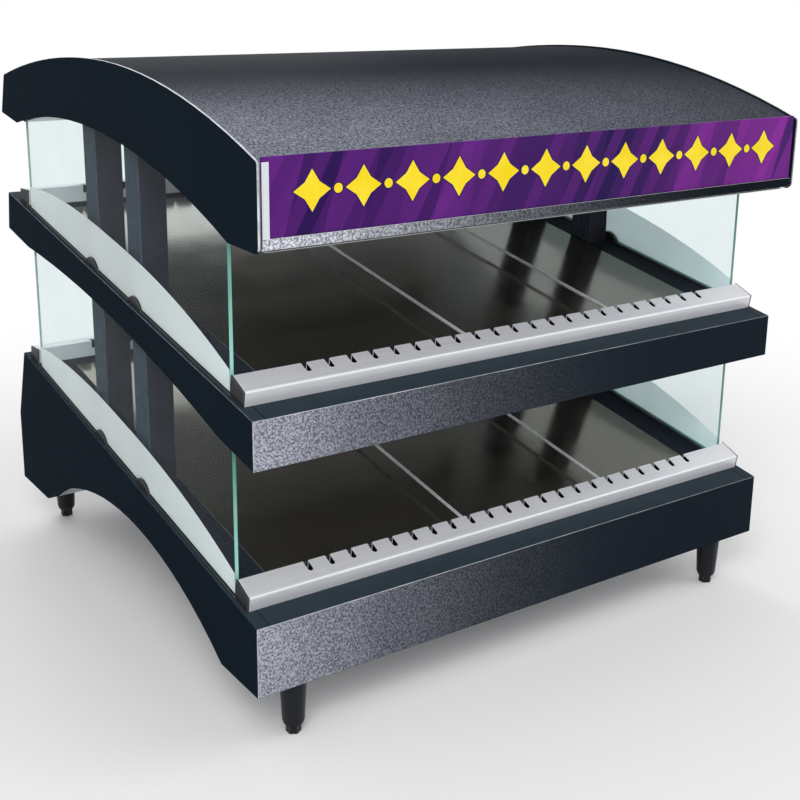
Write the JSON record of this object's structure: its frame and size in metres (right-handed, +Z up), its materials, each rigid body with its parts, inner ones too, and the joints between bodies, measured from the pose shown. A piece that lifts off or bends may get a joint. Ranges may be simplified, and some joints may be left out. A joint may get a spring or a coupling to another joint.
{
  "type": "heated pass-through merchandiser",
  "caption": "Heated pass-through food display cabinet with slanted shelves, notched rails, side glass, square posts and a curved canopy with a slide-in sign.",
  "frame": {"origin": "centre of the bounding box on the counter plane", "axes": "+X to the right seen from the front, +Y from the customer's front to the operator's rear, +Z up; the customer's front faces -Y"},
  "size_m": [0.914, 0.901, 0.844],
  "materials": {
    "smooth_black": "smooth powder coat, satin, near black with a navy cast",
    "hammertone": "fine-textured hammertone powder coat",
    "deck_enamel": "fine-textured dark enamel",
    "post_grey": "satin powder coat",
    "bare_steel": "bright reflector sheet",
    "element_steel": "heat-tinted sheath with ceramic end blocks",
    "bright_rail": "satin anodised",
    "wire": "bright plated",
    "heated_plate": "hard anodised, semi-gloss",
    "silicone": "matte silicone",
    "clear_glass": "clear with a green edge and a frosted band along the foot",
    "lamp_glass": "frosted lamp tube",
    "trim_black": "moulded black",
    "leg_black": "moulded black, satin",
    "sign_channel": "light grey hammertone",
    "sign_film": "printed plastic insert"
  },
  "bodies": {
    "cabinet": {"base_side_left": "smooth_black", "base_side_right": "smooth_black", "base_front_fascia": "hammertone", "base_rear_panel": "smooth_black", "base_bottom_pan": "bare_steel", "base_deck": "deck_enamel", "base_heated_plate": "heated_plate", "base_heater_blanket": "silicone", "cord_gland": "trim_black", "shelf_side_left": "smooth_black", "shelf_side_right": "smooth_black", "shelf_front_fascia": "hammertone", "shelf_rear_fascia": "smooth_black", "shelf_underside_pan": "bare_steel", "shelf_deck": "deck_enamel", "shelf_heated_plate": "heated_plate", "shelf_heater_blanket": "silicone", "shelf_infrared_element": "element_steel", "shelf_lamp": "lamp_glass", "canopy_side_left": "smooth_black", "canopy_side_right": "smooth_black", "canopy_skin": "hammertone", "canopy_liner": "bare_steel", "canopy_infrared_element": "element_steel", "canopy_lamp": "lamp_glass", "sign_holder": "sign_channel", "post_front_left": "post_grey", "post_front_right": "post_grey", "post_rear_left": "post_grey", "post_rear_right": "post_grey", "lower_glass_left": "clear_glass", "lower_glass_right": "clear_glass", "upper_glass_left": "clear_glass", "upper_glass_right": "clear_glass", "lower_glass_retainer_left": "trim_black", "lower_glass_retainer_right": "trim_black", "upper_glass_retainer_left": "trim_black", "upper_glass_retainer_right": "trim_black", "lower_rail_front": "bright_rail", "lower_rail_rear": "bright_rail", "upper_rail_front": "bright_rail", "upper_rail_rear": "bright_rail", "leg_front_left": "leg_black", "leg_front_right": "leg_black", "leg_rear_left": "leg_black", "leg_rear_right": "leg_black"},
    "sign": {"sign_insert": "sign_film"},
    "lower_rod_1": {"lower_divider_rod_1": "wire"},
    "lower_rod_2": {"lower_divider_rod_2": "wire"},
    "upper_rod_1": {"upper_divider_rod_1": "wire"},
    "upper_rod_2": {"upper_divider_rod_2": "wire"},
    "base_knob": {"base_heat_knob": "trim_black"},
    "shelf_knob": {"shelf_heat_knob": "trim_black"},
    "lamp_rocker": {"lamp_switch": "trim_black"},
    "overhead_heat_rocker": {"overhead_heat_switch": "trim_black"},
    "front_left_foot": {"foot_front_left": "leg_black"},
    "front_right_foot": {"foot_front_right": "leg_black"},
    "rear_left_foot": {"foot_rear_left": "leg_black"},
    "rear_right_foot": {"foot_rear_right": "leg_black"}
  },
  "joints": [
    {"name": "sign_lift", "type": "slide", "parent": "cabinet", "child": "sign", "axis": [0, 0, 1], "range_m": [0, 0.105]},
    {"name": "lower_rod_1_lift", "type": "slide", "parent": "cabinet", "child": "lower_rod_1", "axis": [0, -0.1736, 0.9848], "range_m": [0, 0.04]},
    {"name": "lower_rod_2_lift", "type": "slide", "parent": "cabinet", "child": "lower_rod_2", "axis": [0, -0.1736, 0.9848], "range_m": [0, 0.04]},
    {"name": "upper_rod_1_lift", "type": "slide", "parent": "cabinet", "child": "upper_rod_1", "axis": [0, -0.1736, 0.9848], "range_m": [0, 0.04]},
    {"name": "upper_rod_2_lift", "type": "slide", "parent": "cabinet", "child": "upper_rod_2", "axis": [0, -0.1736, 0.9848], "range_m": [0, 0.04]},
    {"name": "base_heat_knob_turn", "type": "hinge", "parent": "cabinet", "child": "base_knob", "pos_m": [0.045, 0.42652, 0.26553], "axis": [0, -0.9399, -0.3416], "range_deg": [0, 270]},
    {"name": "shelf_heat_knob_turn", "type": "hinge", "parent": "cabinet", "child": "shelf_knob", "pos_m": [-0.045, 0.42652, 0.26553], "axis": [0, -0.9399, -0.3416], "range_deg": [0, 270]},
    {"name": "lamp_switch_rock", "type": "hinge", "parent": "cabinet", "child": "lamp_rocker", "pos_m": [0.135, 0.42276, 0.26416], "axis": [-1, 0, 0], "range_deg": [0, 20]},
    {"name": "overhead_heat_switch_rock", "type": "hinge", "parent": "cabinet", "child": "overhead_heat_rocker", "pos_m": [-0.135, 0.42276, 0.26416], "axis": [-1, 0, 0], "range_deg": [0, 20]},
    {"name": "front_left_foot_screw", "type": "slide", "parent": "cabinet", "child": "front_left_foot", "axis": [0, 0, -1], "range_m": [0, 0.02]},
    {"name": "front_right_foot_screw", "type": "slide", "parent": "cabinet", "child": "front_right_foot", "axis": [0, 0, -1], "range_m": [0, 0.02]},
    {"name": "rear_left_foot_screw", "type": "slide", "parent": "cabinet", "child": "rear_left_foot", "axis": [0, 0, -1], "range_m": [0, 0.02]},
    {"name": "rear_right_foot_screw", "type": "slide", "parent": "cabinet", "child": "rear_right_foot", "axis": [0, 0, -1], "range_m": [0, 0.02]}
  ]
}
